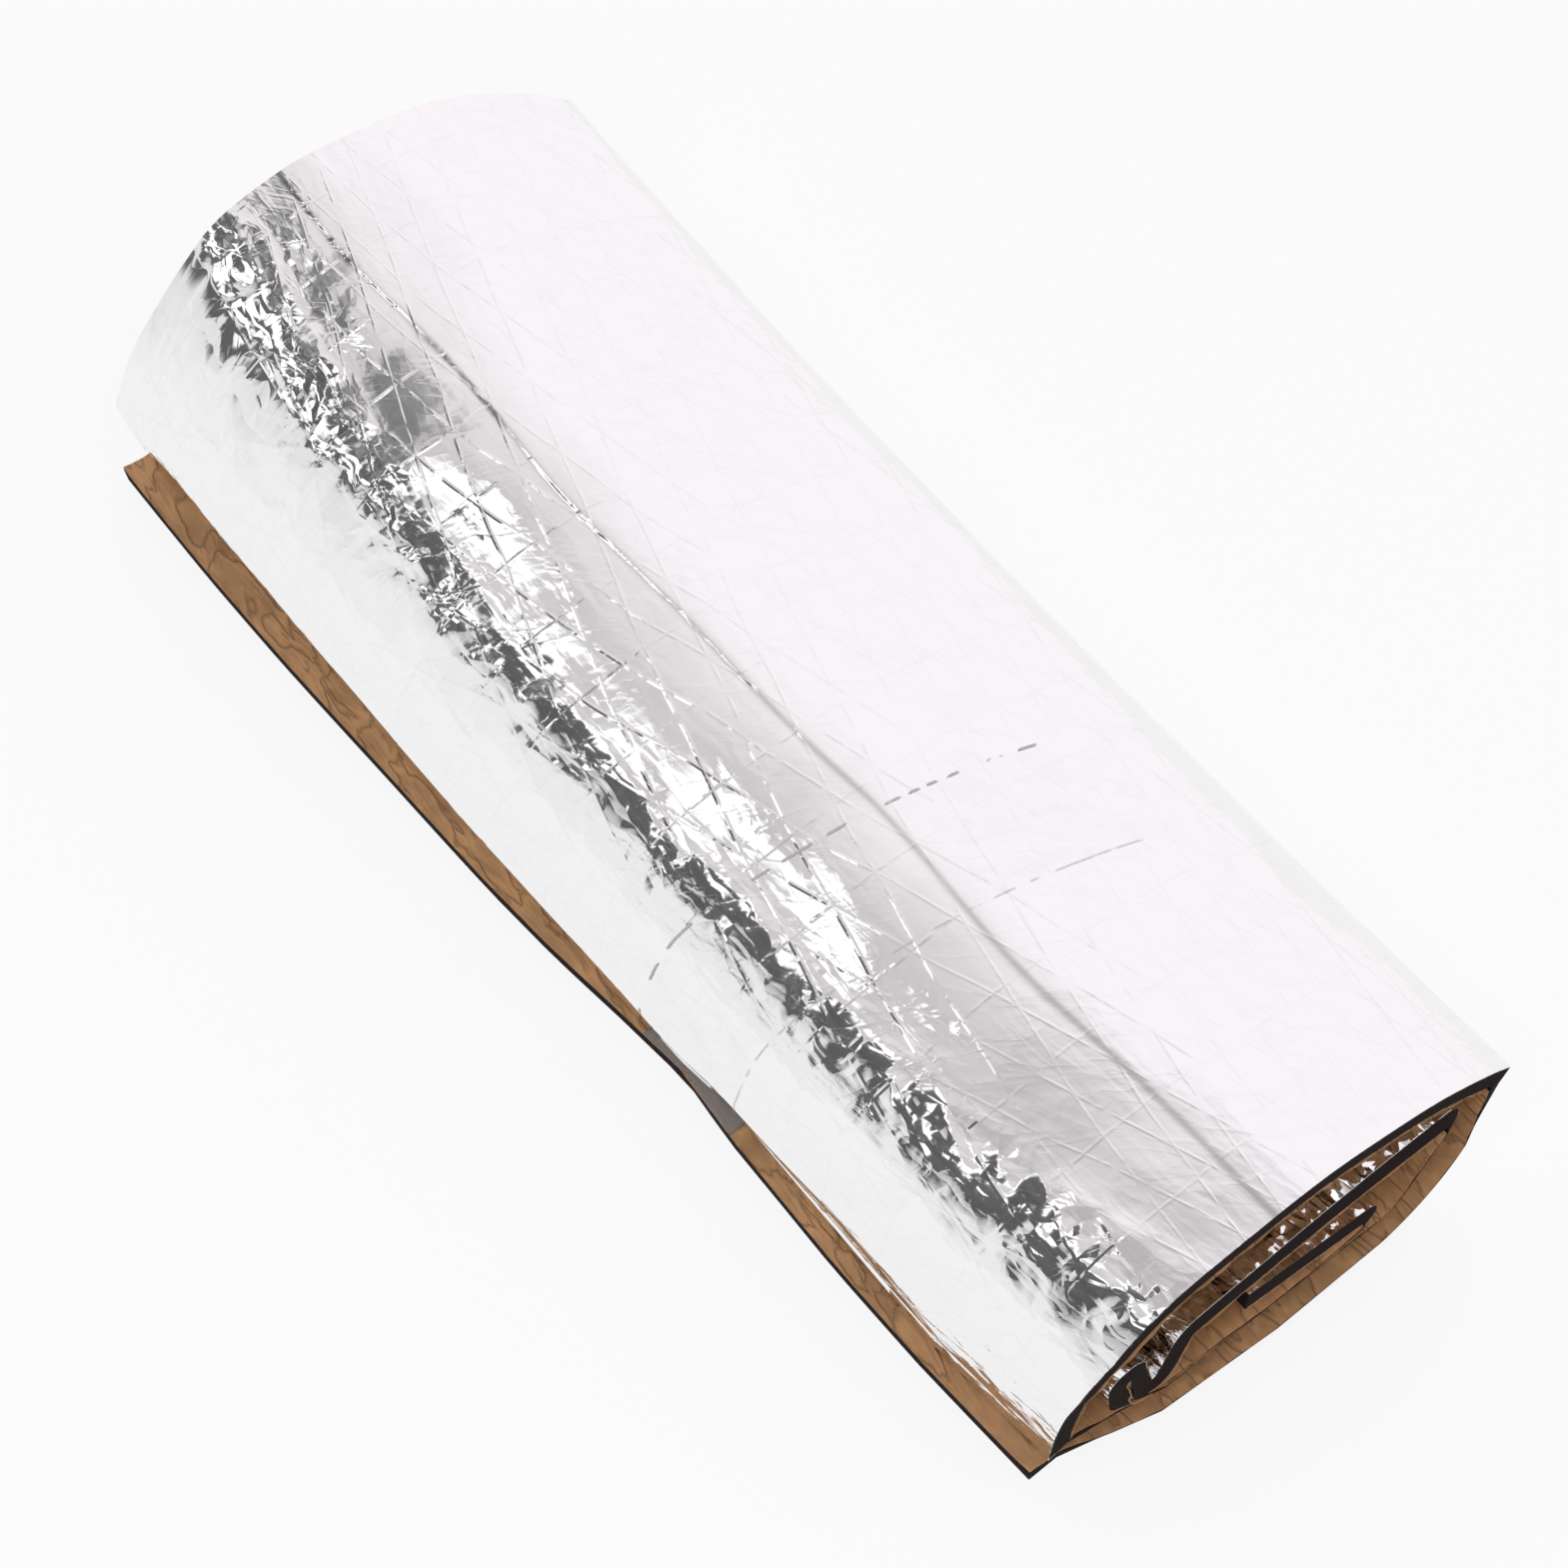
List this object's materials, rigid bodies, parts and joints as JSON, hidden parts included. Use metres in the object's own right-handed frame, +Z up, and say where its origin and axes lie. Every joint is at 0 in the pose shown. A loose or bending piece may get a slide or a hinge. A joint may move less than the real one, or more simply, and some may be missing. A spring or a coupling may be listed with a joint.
{
  "type": "sound deadening mat",
  "caption": "Loosely rolled mat of foil-faced closed-cell foam with a kraft release liner, flattened into an oval roll and held by a clear tape strip.",
  "frame": {"origin": "on the floor under the roll, at mid length, 104 mm in from the edge of the tail", "axes": "+X along the roll towards its tight end, +Z up, the tail's edge faces -Y"},
  "size_m": [0.5, 0.2159, 0.0968],
  "materials": {
    "foil": "mirror-bright facing with a fibre scrim embossed through it",
    "foam": "matt black closed-cell foam",
    "liner": "crumpled brown kraft release paper",
    "tape": "clear glossy packing tape"
  },
  "bodies": {
    "root": {"foil_facing": "foil", "foam_sheet": "foam", "release_liner": "liner", "tape_strip": "tape"}
  },
  "joints": []
}
